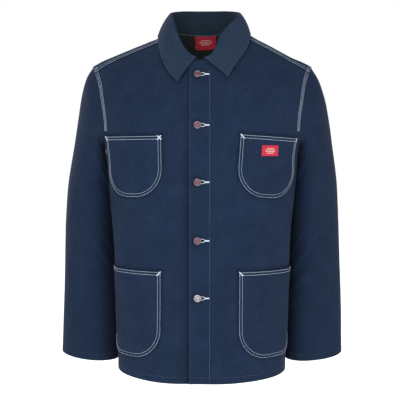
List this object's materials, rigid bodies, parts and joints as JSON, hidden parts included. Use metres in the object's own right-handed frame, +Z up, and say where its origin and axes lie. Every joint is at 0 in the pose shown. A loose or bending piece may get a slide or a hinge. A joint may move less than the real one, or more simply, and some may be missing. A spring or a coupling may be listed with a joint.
{
  "type": "lined denim jacket",
  "caption": "Lined denim work jacket, filled out with no wearer: point collar, buttoned front with keyhole buttonholes, set-in sleeves and round-bottomed patch pockets.",
  "frame": {"origin": "middle of the neck hole, at the height where the shoulder seams meet the neck", "axes": "+Z up, the front faces -Y, the wearer's left is +X"},
  "size_m": [0.616, 0.2521, 0.7759],
  "materials": {
    "denim": "matt twill",
    "lining": "matt",
    "red_label": "satin woven",
    "copper": "brushed"
  },
  "bodies": {
    "root": {"front_left": "denim", "front_right": "denim", "back": "denim", "lining_back": "lining", "sleeve_left": "denim", "sleeve_right": "denim", "collar": "denim", "pocket_chest_left": "denim", "pocket_chest_right": "denim", "pocket_hip_left": "denim", "pocket_hip_right": "denim", "label_pocket": "red_label", "label_neck": "red_label", "button_1": "copper", "button_2": "copper", "button_3": "copper", "button_4": "copper", "button_5": "copper"}
  },
  "joints": []
}
